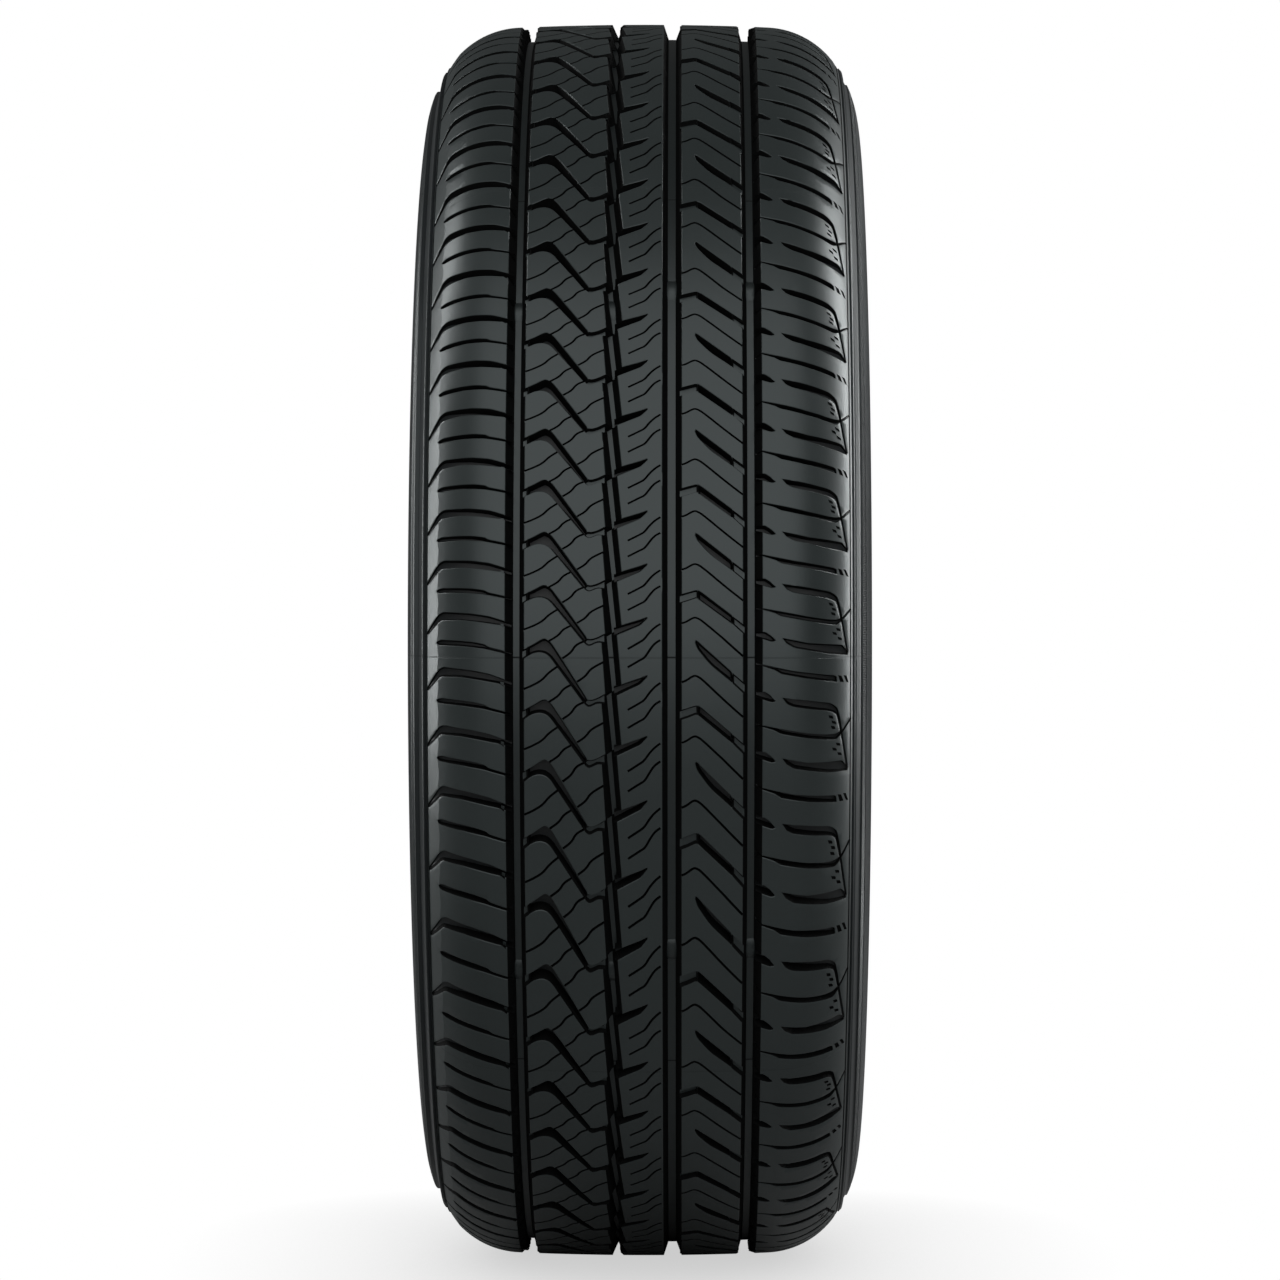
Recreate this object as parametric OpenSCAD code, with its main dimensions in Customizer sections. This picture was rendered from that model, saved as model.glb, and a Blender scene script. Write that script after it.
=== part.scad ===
// Radial passenger car tyre with an asymmetric all-season tread, moulded in one piece.
// The axle runs along +Y and the origin is the wheel's centre. Millimetres and degrees.
// The body is one turned section. The tread pattern is cut pitch by pitch, with pitches
// of five lengths in an uneven run, which is how a tread is laid out to keep its hum low.

/* [Tyre] */
// Diameter over the tread, unloaded
outer_d = 656.8; // [640:0.2:670]
// Width over the sidewalls
section_w = 226; // [222:1:232]
// Diameter of the rim's bead seat
rim_d = 436.6; // [430:0.2:440]
// Width of the rim between its flanges
rim_w = 190.5; // [180:0.5:196]
// Height of the widest point, as a share of the section's height
widest_share = 0.49; // [0.46:0.01:0.52]

/* [Crown] */
// Radius of the crown's arc across the tread
crown_r = 1500; // [1000:50:2500]
// Width of the crown's arc, as a share of the width over the sidewalls
crown_share = 0.584; // [0.568:0.002:0.6]
// Radius of the rounded shoulder, as a share of half the width over the sidewalls
shoulder_share = 0.407; // [0.391:0.002:0.423]
// Slope at which the rounded shoulder ends
shoulder_angle = 52; // [48:1:56]
// Thickness from the tread to the inner liner
crown_t = 14.6; // [13:0.1:18]

/* [Main grooves] */
// Depth of the main grooves
groove_depth = 7.9; // [6.5:0.1:8.4]
// Width of a main groove at the tread
groove_w = 9; // [7.5:0.1:10]
// Width of a main groove at its floor
groove_floor_w = 4.2; // [3:0.1:5]
// Place of the outer left groove, as a share of the crown's half width
left_groove_share = -0.9015; // [-0.92:0.0005:-0.88]
// Place of the inner right groove, as a share of the crown's half width
centre_groove_share = 0.2365; // [0.215:0.0005:0.255]
// Place of the outer right groove, as a share of the crown's half width
right_groove_share = 0.8215; // [0.8:0.0005:0.845]
// Width of the zigzag groove
zigzag_w = 6.8; // [6:0.1:8]
// Place of the zigzag groove, as a share of the crown's half width
zigzag_share = -0.1985; // [-0.21:0.0005:-0.185]
// How far the zigzag groove steps sideways at each pitch
zigzag_step = 2.1; // [1:0.1:3]
// Height of the wear bars above the groove floors
wear_bar_h = 1.6; // [1:0.1:2.5]
// Length of a wear bar around the tyre
wear_bar_l = 12; // [8:0.5:16]

/* [Slots] */
// Depth of the cross slots in the ribs
slot_depth = 7.2; // [5:0.1:7.4]
// Depth of the cross slots in the shoulders
shoulder_slot_depth = 6.4; // [5:0.1:7]
// Depth of the slots where they run out over the shoulder
slot_end_depth = 1.2; // [0.8:0.1:2]
// Depth of the tie bars that bridge the slots at a groove
tie_depth = 2.6; // [1.5:0.1:4]

/* [Sidewall] */
// Thickness of the sidewall at its widest point
sidewall_t = 8.6; // [7:0.1:10]
// Height of the fine rib that rings the upper sidewall
ring_h = 0.8; // [0.4:0.1:1.2]
// Height of the rim protector rib
protector_h = 3; // [1:0.1:4]

/* [Bead] */
// Width of the bead's base from heel to toe
bead_w = 19; // [17:0.5:21]
// Radius of the bead's heel
heel_r = 6.5; // [5:0.1:7]
// How much smaller the toe's bore is than the bead seat, in radius
bead_grip = 0.9; // [0.5:0.05:1.2]
// Width of the level land at the toe
toe_land = 5; // [4:0.5:7]
// Height of the bead's outer face that lies against the rim's flange
flange_h = 18; // [16:0.5:20]

/* [Hidden] */
rubber = "#2b2d2e";

outer_r = outer_d / 2;
rim_r = rim_d / 2;
half_w = section_w / 2;
section_h = outer_r - rim_r;
widest_r = rim_r + widest_share * section_h;

// Lengths of the five pitches, as shares of the mean pitch, and the run of pitches
// around the tyre. The run starts at first_pitch_angle and goes on over the front.
pitch_sizes = [0.82, 0.93, 1.05, 1.12, 1.23];
pitch_run = [
    5, 4, 3, 3, 2, 2, 1, 1, 1, 1, 1, 1, 1, 2, 2, 3, 4, 5, 5, 4, 4, 4,
    5, 5, 4, 3, 2, 1, 1, 1, 2, 2, 3, 4, 5, 4, 3, 2, 1, 1, 1, 2, 2, 3,
    3, 3, 4, 5, 4, 3, 2, 1, 1, 1, 2, 3, 4, 5, 4, 3, 2, 2, 1, 2, 3, 4
];
first_pitch_angle = -65.9;
pitches = len(pitch_run);
pitch_shares = [for (size = pitch_run) pitch_sizes[size - 1]];
function sum_to(list, n, i = 0, total = 0) = i >= n ? total : sum_to(list, n, i + 1, total + list[i]);
run_total = sum_to(pitch_shares, pitches);
function pitch_start(k) = first_pitch_angle + 360 * sum_to(pitch_shares, k) / run_total;
function pitch_angle(k) = 360 * pitch_shares[k] / run_total;

// The crown is one arc from the middle to crown_half_w, and the shoulder's arc goes on
// from it with the same slope.
crown_half_w = crown_share * half_w;
shoulder_r = shoulder_share * half_w;
left_groove_y = left_groove_share * crown_half_w;
zigzag_y = zigzag_share * crown_half_w;
centre_groove_y = centre_groove_share * crown_half_w;
right_groove_y = right_groove_share * crown_half_w;
crown_end_angle = asin(crown_half_w / crown_r);
crown_end_r = outer_r - crown_r * (1 - cos(crown_end_angle));
shoulder_cy = crown_half_w - shoulder_r * sin(crown_end_angle);
shoulder_cr = crown_end_r - shoulder_r * cos(crown_end_angle);
tread_edge_y = shoulder_cy + shoulder_r * sin(shoulder_angle);
tread_edge_r = shoulder_cr + shoulder_r * cos(shoulder_angle);
function surface_r(y) = abs(y) <= crown_half_w
    ? outer_r - crown_r + sqrt(crown_r ^ 2 - y ^ 2)
    : shoulder_cr + sqrt(max(shoulder_r ^ 2 - (abs(y) - shoulder_cy) ^ 2, 0));
function surface_point(y, deep = 0) = [y, surface_r(y) - deep];

// A point of the cubic curve with ends a and d and handles b and c
function curve(a, b, c, d, t) =
    (1 - t) ^ 3 * a + 3 * t * (1 - t) ^ 2 * b + 3 * t ^ 2 * (1 - t) * c + t ^ 3 * d;
function slope(a, b, c, d, t) =
    (1 - t) ^ 2 * (b - a) + 2 * t * (1 - t) * (c - b) + t ^ 2 * (d - c);
function outwards(v) = [-v[1], v[0]] / norm(v);
function raised(a, b, c, d, t, high) = curve(a, b, c, d, t) + high * outwards(slope(a, b, c, d, t));

// Upper sidewall, from the shoulder to the widest point, with a fine ring and a hollow band.
// A reach is how far a curve's handle lies from its end.
upper_h = tread_edge_r - widest_r;
upper_start_reach = 0.351 * upper_h;
upper_start_turn = 5;
upper_end_reach = 0.459 * upper_h;
band_depth = 0.7;
upper_start_angle = shoulder_angle + upper_start_turn;
upper_a = [tread_edge_y, tread_edge_r];
upper_b = upper_a + upper_start_reach * [cos(upper_start_angle), -sin(upper_start_angle)];
upper_d = [half_w, widest_r];
upper_c = upper_d + [0, upper_end_reach];
upper_marks = [
    [0, 0], [0.07, 0], [0.1, -ring_h], [0.125, -ring_h], [0.15, ring_h], [0.18, ring_h], [0.2, -band_depth],
    [0.32, -band_depth], [0.45, -band_depth], [0.47, 0], [0.6, 0], [0.72, 0], [0.86, 0], [1, 0]
];
upper_sidewall = [
    for (mark = upper_marks) raised(upper_a, upper_b, upper_c, upper_d, mark[0], mark[1])
];

// Lower sidewall, from the widest point to the rim's flange, with the rim protector
flange_top_r = rim_r + flange_h;
lower_h = widest_r - flange_top_r;
lower_start_reach = 0.417 * lower_h;
lower_end_reach = 0.194 * lower_h * [1, 1];
flange_lean = 2;
lower_a = upper_d;
lower_b = lower_a - [0, lower_start_reach];
lower_d = [rim_w / 2 + flange_lean, flange_top_r];
lower_c = lower_d + lower_end_reach;
lower_marks = [
    [0.15, 0], [0.3, 0], [0.42, 0], [0.5, 0], [0.56, protector_h * 0.6], [0.62, protector_h],
    [0.7, protector_h], [0.76, protector_h * 0.3], [0.84, 0], [1, 0]
];
lower_sidewall = [
    for (mark = lower_marks) raised(lower_a, lower_b, lower_c, lower_d, mark[0], mark[1])
];

// Bead: rounded heel, base that tapers in to a level land at the toe
heel_y = rim_w / 2;
toe_y = heel_y - bead_w;
toe_r = rim_r - bead_grip;
toe_inner = [toe_y - 1, toe_r + 1.6];
heel_lead = [0.3, 2];
heel_steps = 5;
bead = concat(
    [[heel_y, rim_r + heel_r] + heel_lead],
    [for (i = [0 : heel_steps])
        [heel_y - heel_r, rim_r + heel_r] + heel_r * [cos(90 * i / heel_steps), -sin(90 * i / heel_steps)]],
    [[toe_y + toe_land, toe_r], [toe_y, toe_r], toe_inner]
);

// Inner liner, from the toe up the sidewall and under the crown to the middle. It is widest
// a little above the tyre's widest point, and the shoulder is thicker than the crown.
liner_rise = 0.036 * section_h;
liner_shoulder_y = 1.09 * crown_half_w;
liner_shoulder_extra = 1.5;
liner_steps = 6;
liner_a = toe_inner;
liner_d = [half_w - sidewall_t, widest_r + liner_rise];
liner_g = surface_point(liner_shoulder_y, crown_t + liner_shoulder_extra);
liner_lower_h = liner_d[1] - liner_a[1];
liner_upper_h = liner_g[1] - liner_d[1];
liner_upper_w = liner_d[0] - liner_g[0];
liner_b = liner_a + liner_lower_h * [0.087, 0.349];
liner_c = liner_d - [0, 0.384 * liner_lower_h];
liner_e = liner_d + [0, 0.71 * liner_upper_h];
liner_f = liner_g + [0.617 * liner_upper_w, -0.071 * liner_upper_h];
liner = concat(
    [for (i = [1 : liner_steps]) curve(liner_a, liner_b, liner_c, liner_d, i / liner_steps)],
    [for (i = [1 : liner_steps]) curve(liner_d, liner_e, liner_f, liner_g, i / liner_steps)],
    [surface_point(crown_half_w / 2, crown_t)]
);

function mirrored(list) = [for (i = [len(list) - 1 : -1 : 0]) [-list[i][0], list[i][1]]];

// Main grooves as notches in the section, seen from left to right
function groove(y, w, floor_w, deep) = [
    surface_point(y - w / 2),
    surface_point(y - floor_w / 2, deep),
    surface_point(y + floor_w / 2, deep),
    surface_point(y + w / 2)
];
zigzag_core_w = zigzag_w - zigzag_step;
zigzag_taper = 0.6;
zigzag_extra_depth = 0.3;
shoulder_steps = 4;
shoulder_arc = [
    for (i = [1 : shoulder_steps])
        let (a = crown_end_angle + (shoulder_angle - crown_end_angle) * i / shoulder_steps)
        [shoulder_cy + shoulder_r * sin(a), shoulder_cr + shoulder_r * cos(a)]
];
tread = concat(
    mirrored(shoulder_arc),
    groove(left_groove_y, groove_w, groove_floor_w, groove_depth),
    groove(zigzag_y, zigzag_core_w, zigzag_core_w - zigzag_taper, slot_depth + zigzag_extra_depth),
    [surface_point(0)],
    groove(centre_groove_y, groove_w, groove_floor_w, groove_depth),
    groove(right_groove_y, groove_w, groove_floor_w, groove_depth),
    shoulder_arc
);
side = concat([for (i = [1 : len(upper_sidewall) - 1]) upper_sidewall[i]], lower_sidewall, bead, liner);
section = concat(tread, side, [[0, outer_r - crown_t]], mirrored(side));

// The ribs between the grooves: where each begins and how wide it is
left_shoulder_y = left_groove_y - groove_w / 2;
second_rib_y = left_groove_y + groove_w / 2;
second_rib_w = zigzag_y - zigzag_w / 2 - second_rib_y;
third_rib_y = zigzag_y + zigzag_w / 2;
third_rib_w = centre_groove_y - groove_w / 2 - third_rib_y;
fourth_rib_y = centre_groove_y + groove_w / 2;
fourth_rib_w = right_groove_y - groove_w / 2 - fourth_rib_y;
right_shoulder_y = right_groove_y + groove_w / 2;

// Each cut is drawn in its rib's own cell: the first number runs across the rib from 0 to 1,
// the second along the tread, 0 to 1 for one pitch. A mouth or an end laps into its groove.
vee_groove = [
    [-0.05, 0.22], [0.22, 0], [0.3, 0], [0.817, 1.002],
    [0.754, 1.041], [0.298, 0.295], [0.168, 0.25], [-0.05, 0.37]
];
vee_end = [
    [0.79, 0.97], [0.817, 1.002], [1.06, 0.91], [1.06, 1.065], [0.8, 1.1], [0.754, 1.041], [0.76, 1]
];
notch_groove = [[-0.12, -0.2], [0.652, -0.396], [0.49, -0.24], [-0.12, -0.05]];
slant_groove = [[0.279, 0.138], [0.888, 0.686], [0.888, 0.814], [0.279, 0.272]];
slant_mouth = [
    [-0.05, 0.24], [0.204, 0.116], [0.279, 0.138], [0.3, 0.18], [0.3, 0.27], [0.279, 0.272], [-0.05, 0.35]
];
slant_end = [[0.87, 0.69], [0.888, 0.686], [1.05, 0.832], [1.05, 0.956], [0.888, 0.814], [0.87, 0.79]];
lens_groove = [[0.231, 0.045], [0.888, 0.59], [0.888, 0.79], [0.48, 0.431], [0.262, 0.19]];
lens_end = [[0.87, 0.6], [0.888, 0.59], [1.05, 0.745], [1.05, 0.94], [0.888, 0.79], [0.87, 0.76]];
long_slot = [
    [-0.03, -0.285], [0.21, -0.399], [0.45, -0.442], [0.81, -0.442], [1.06, -0.02],
    [0.86, -0.293], [0.34, -0.303], [-0.03, -0.195]
];
short_slot = [
    [-0.03, 0.22], [0.415, 0.078], [0.84, 0.073], [0.91, 0.119],
    [0.86, 0.17], [0.25, 0.19], [-0.03, 0.262]
];
shoulder_notch = [[-0.05, -0.127], [0.04, -0.127], [0.15, 0.056], [-0.05, 0.01]];
bar_slot = [[0.16, 0.485], [0.83, 0.68], [0.87, 0.8], [0.213, 0.577]];
curl_slot = [[0.16, 0.496], [0.852, 0.654], [0.93, 0.6], [0.96, 0.64], [0.852, 0.752], [0.213, 0.581]];
hook_slot = [
    [0.24, 0], [0.789, 0.136], [0.869, 0.229], [0.985, 1.25], [0.955, 1.25], [0.85, 0.3], [0.3, 0.115]
];
blade_slot = [[0.24, -0.007], [0.92, 0.096], [0.98, 0.245], [0.762, 0.221], [0.3, 0.09]];

// A cut is drawn on a plane that touches the tread at the middle of its pitch, and goes
// straight in to its depth under the middle of its rib.
air = 3;
function pitch_middle(k) = pitch_start(k) + pitch_angle(k) / 2;
function pitch_length(k) = outer_r * pitch_angle(k) * PI / 180;
module cut(k, shape, rib_y, rib_w, deep) {
    floor_r = surface_r(rib_y + rib_w / 2) - deep;
    rotate([0, 0, pitch_middle(k)])
        rotate([90, 0, 90])
            translate([0, 0, floor_r])
                linear_extrude(outer_r + air - floor_r)
                    polygon([for (p = shape) [(p[1] - 0.5) * pitch_length(k), rib_y + p[0] * rib_w]]);
}

// In a shoulder the slots get shallower as the tread curves away, so their plain cuts are
// kept to a slab over the floor that they share. side is 1 at the right and -1 at the left.
floor_steps = 2;
run_out = 6;
slab_pitches = 4;
through_cut = 40;
function floor_depth(y) =
    let (share = max(0, (abs(y) - crown_half_w) / (tread_edge_y - crown_half_w)))
    shoulder_slot_depth + (slot_end_depth - shoulder_slot_depth) * share ^ 2;
shoulder_floor = [
    for (i = [0 : floor_steps])
        let (y = crown_half_w + (tread_edge_y - crown_half_w) * i / floor_steps)
        surface_point(y, floor_depth(y))
];
shoulder_run_out = shoulder_floor[floor_steps] + run_out * [cos(shoulder_angle), -sin(shoulder_angle)];
module shoulder_slab(k, side) {
    start_y = (side > 0 ? right_shoulder_y : -left_shoulder_y) - groove_w / 3;
    outline = concat(
        [[start_y, outer_r - shoulder_slot_depth]], shoulder_floor,
        [shoulder_run_out, [shoulder_run_out[0], outer_r + air], [start_y, outer_r + air]]
    );
    width = slab_pitches * pitch_length(k);
    rotate([0, 0, pitch_middle(k)])
        rotate([90, 0, 0])
            translate([0, 0, -width / 2])
                linear_extrude(width)
                    polygon([for (p = outline) [p[1], side * p[0]]]);
}

module left_shoulder_cuts(k) {
    width = -tread_edge_y - left_shoulder_y;
    intersection() {
        union() {
            cut(k, long_slot, left_shoulder_y, width, through_cut);
            cut(k, short_slot, left_shoulder_y, width, through_cut);
        }
        shoulder_slab(k, -1);
    }
}

module second_rib_cuts(k) {
    cut(k, vee_groove, second_rib_y, second_rib_w, slot_depth);
    cut(k, vee_end, second_rib_y, second_rib_w, tie_depth);
}

// One tooth of the zigzag groove: it leans to the right over the pitch, then steps back
module zigzag_cut(k) {
    left_y = zigzag_y - (zigzag_w + zigzag_step) / 2;
    step_at = 0.95;
    lap = 0.01;
    tooth = [
        [0, step_at - 1 - lap], [zigzag_w, step_at - 1 - lap],
        [zigzag_w + zigzag_step, step_at], [zigzag_step, step_at]
    ];
    cut(k, tooth, left_y, 1, slot_depth);
}

// The fourth rib and the right shoulder change from pitch to pitch, so they repeat in pairs.
module fourth_rib_cuts(k) {
    if (k % 2 == 0) {
        cut(k, slant_groove, fourth_rib_y, fourth_rib_w, slot_depth);
        cut(k, slant_mouth, fourth_rib_y, fourth_rib_w, tie_depth);
        cut(k, slant_end, fourth_rib_y, fourth_rib_w, tie_depth);
    } else {
        cut(k, lens_groove, fourth_rib_y, fourth_rib_w, slot_depth);
        cut(k, lens_end, fourth_rib_y, fourth_rib_w, tie_depth);
    }
}

module right_shoulder_cuts(k) {
    width = tread_edge_y - right_shoulder_y;
    shapes = k % 2 == 0 ? [shoulder_notch, hook_slot, curl_slot] : [shoulder_notch, blade_slot, bar_slot];
    intersection() {
        union()
            for (shape = shapes)
                cut(k, shape, right_shoulder_y, width, through_cut);
        shoulder_slab(k, 1);
    }
}

module pattern_cuts() {
    for (k = [0 : pitches - 1]) {
        left_shoulder_cuts(k);
        second_rib_cuts(k);
        zigzag_cut(k);
        cut(k, notch_groove, third_rib_y, third_rib_w, slot_depth);
        fourth_rib_cuts(k);
        right_shoulder_cuts(k);
    }
}

// Draws a section given as [across, radius] for turning
module turned(points) {
    polygon([for (p = points) [p[1], p[0]]]);
}

// Bars across the main grooves that show when the tread is worn
wear_bar_angles = [-27.1, 28.3, 89.3, 150.2, 211.1, 272];
module wear_bars() {
    angle = wear_bar_l / outer_r * 180 / PI;
    sink = 1;
    for (start = wear_bar_angles, y = [left_groove_y, centre_groove_y, right_groove_y])
        rotate_extrude(angle = angle, start = start - angle / 2, $fn = 180)
            turned([
                surface_point(y - groove_floor_w, groove_depth + sink),
                surface_point(y + groove_floor_w, groove_depth + sink),
                surface_point(y + groove_floor_w, groove_depth - wear_bar_h),
                surface_point(y - groove_floor_w, groove_depth - wear_bar_h)
            ]);
}

module tyre() {
    color(rubber)
        rotate([-90, 0, 0])
            difference() {
                union() {
                    rotate_extrude($fn = 180) turned(section);
                    wear_bars();
                }
                pattern_cuts();
            }
}

tyre();
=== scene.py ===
# %% [markdown]
# # A car tyre, dressed for the studio
# The CAD model of the tyre comes in as a fixed frame. This notebook builds the moulded
# rubber around it in finer detail: the ribs with their slots and sipes, the sidewalls, the
# beads and the inner liner. Everything is in metres in the CAD's own axes.

# %% Load the frame
import bpy
import numpy as np
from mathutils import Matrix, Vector
from mathutils.geometry import delaunay_2d_cdt


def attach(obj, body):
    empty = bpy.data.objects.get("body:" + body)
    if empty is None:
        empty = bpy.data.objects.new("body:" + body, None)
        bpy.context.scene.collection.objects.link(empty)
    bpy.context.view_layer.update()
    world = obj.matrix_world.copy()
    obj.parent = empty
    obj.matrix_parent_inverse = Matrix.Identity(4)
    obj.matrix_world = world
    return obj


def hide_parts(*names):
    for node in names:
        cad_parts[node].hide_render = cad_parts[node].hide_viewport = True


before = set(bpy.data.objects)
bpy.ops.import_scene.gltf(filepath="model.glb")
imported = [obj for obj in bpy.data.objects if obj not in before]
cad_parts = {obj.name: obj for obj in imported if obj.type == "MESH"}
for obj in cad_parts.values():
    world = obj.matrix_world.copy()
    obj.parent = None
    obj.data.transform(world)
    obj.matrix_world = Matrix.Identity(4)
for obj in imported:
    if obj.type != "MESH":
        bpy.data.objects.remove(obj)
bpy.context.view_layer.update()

# %% [markdown]
# ## Sizes of the section
# The same sizes as in the CAD source, in millimetres. y runs across the tread, r is the
# distance from the axle. The crown is one flat arc and the shoulder a tighter one.

# %% Section sizes
OUTER_R, RIM_R, HALF_W, RIM_HALF = 328.4, 218.3, 113.0, 95.25
CROWN_R, CROWN_HALF, SHOULDER_R, SHOULDER_ANGLE = 1500.0, 0.584 * HALF_W, 0.407 * HALF_W, np.radians(52)
CROWN_T, SIDEWALL_T, WIDEST_R = 14.6, 8.6, 272.3
crown_end = np.arcsin(CROWN_HALF / CROWN_R)
crown_end_r = OUTER_R - CROWN_R * (1 - np.cos(crown_end))
shoulder_y = CROWN_HALF - SHOULDER_R * np.sin(crown_end)
shoulder_c = crown_end_r - SHOULDER_R * np.cos(crown_end)
EDGE_Y = shoulder_y + SHOULDER_R * np.sin(SHOULDER_ANGLE)
EDGE_R = shoulder_c + SHOULDER_R * np.cos(SHOULDER_ANGLE)
# the flat pattern reaches this far to each side, and the sidewalls start there
PATCH = 102.5
# the left shoulder is cut back by this much at that edge
LEFT_CUT = 0.8
print(f"tread edge at y {EDGE_Y:.1f} mm, r {EDGE_R:.1f} mm")


def bezier(a, b, c, d, t):
    """Cubic curve: (1-t)^3 a + 3t(1-t)^2 b + 3t^2(1-t) c + t^3 d, for an array of t."""
    t = np.asarray(t, float)[:, None]
    a, b, c, d = (np.array(p, float) for p in (a, b, c, d))
    return (1 - t) ** 3 * a + 3 * t * (1 - t) ** 2 * b + 3 * t ** 2 * (1 - t) * c + t ** 3 * d


# two curves meet at the sidewall's widest point, and the upper one leaves the shoulder 5 degrees steeper
TURN, HANDLE = SHOULDER_ANGLE + np.radians(5), 13
UPPER = [(EDGE_Y, EDGE_R), (EDGE_Y + HANDLE * np.cos(TURN), EDGE_R - HANDLE * np.sin(TURN)),
         (HALF_W, WIDEST_R + 17), (HALF_W, WIDEST_R)]
LOWER = [(HALF_W, WIDEST_R), (HALF_W, WIDEST_R - 15), (RIM_HALF + 9, RIM_R + 25), (RIM_HALF + 2, RIM_R + 18)]
UPPER_T = np.linspace(0, 1, 400)
upper_line = bezier(*UPPER, UPPER_T)


def tread_r(y):
    """Radius of the tread at y: the crown's arc, then the shoulder's arc, then the sidewall's curve."""
    y = np.abs(y)
    crown = OUTER_R - CROWN_R + np.sqrt(CROWN_R ** 2 - np.minimum(y, CROWN_HALF) ** 2)
    arc = shoulder_c + np.sqrt(np.maximum(SHOULDER_R ** 2 - (y - shoulder_y) ** 2, 0))
    wall = np.interp(y, upper_line[:, 0], upper_line[:, 1])
    return np.where(y <= CROWN_HALF, crown, np.where(y <= EDGE_Y, arc, wall))


# %% [markdown]
# ## The run of pitches
# A tread repeats one pattern at five lengths in an uneven run, so that its hum has no single
# note. The pattern here changes from one pitch to the next, so it repeats in pairs.

# %% Pitches
PITCH_SIZES = np.array([0.82, 0.93, 1.05, 1.12, 1.23])
PITCH_RUN = "543322111111122345544455432111223454321112233345432111234543221234"
FIRST_PITCH = np.radians(-65.9)
shares = PITCH_SIZES[np.array([int(c) - 1 for c in PITCH_RUN])]
starts = FIRST_PITCH + 2 * np.pi * np.concatenate([[0], np.cumsum(shares)]) / shares.sum()
PITCHES = len(shares)
MEAN = 2 * np.pi * OUTER_R / PITCHES
print(PITCHES, "pitches, mean length", round(MEAN, 2), "mm")

# %% [markdown]
# ## The pattern's outlines
# Each outline is a list of (mm across the tread, share of the pitch). The slots' sides meet
# the main grooves' walls at the height of the slot's own floor, so that each opens cleanly.

# %% Grooves and slots
# depths in mm
DEEP, ZIG_DEEP, SLOT, SHOULDER_SLOT, SLOT_END, SIPE, TIE, SHALLOW = 7.9, 7.5, 7.2, 6.4, 1.2, 5.0, 2.4, 1.0
# the fine ring that ends the right shoulder
LINE_AT, LINE_DEEP = (101.15, 101.8), 0.4
# width and drop of the bevel on an edge
EDGE, SOFT = 0.3, 0.2
# width of the sloped foot of a wall in a shoulder, in a slot and on a tie bar, and its share of the depth
FEET, FOOT_SHARE = {"shoulder": 0.75, "slot": 0.95, "tie": 0.8}, 0.8
# of each straight groove: outer edge, floor edge, floor edge, outer edge
GROOVES = [(-64.0, -60.3, -57.3, -55.0), (11.05, 13.6, 17.4, 20.3), (49.7, 51.9, 55.2, 58.9)]
# the same four lines of the zigzag groove, which is the second from the left
ZIG_LEFT = [(-18.0, -0.04), (-16.1, 0.9), (-18.0, 0.96)]
ZIG_FLOOR_LEFT = [(-15.5, -0.04), (-12.8, 0.9), (-15.5, 0.96)]
ZIG_FLOOR_RIGHT = [(-13.2, -0.04), (-10.9, 0.84), (-13.2, 0.9)]
ZIG_RIGHT = [(-10.6, -0.04), (-8.2, 0.84), (-10.6, 0.9)]
# the tread is parted into five bands along the middles of the grooves
SPLITS = (-58.8, -13.0, 15.5, 53.5)


def mouth(groove, side, deep):
    """Place across where the groove's sloped wall has come down to the depth deep."""
    edge, floor = (groove[0], groove[1]) if side < 0 else (groove[3], groove[2])
    return edge + (floor - edge) * (deep - SOFT) / (DEEP - SOFT)


# where the slots reach the walls of the first, third and fourth groove
left_1 = mouth(GROOVES[0], -1, SHOULDER_SLOT)
right_1 = mouth(GROOVES[0], 1, TIE)
right_3 = mouth(GROOVES[1], 1, TIE)
left_4 = mouth(GROOVES[2], -1, TIE)
right_4 = mouth(GROOVES[2], 1, SHOULDER_SLOT)
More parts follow.
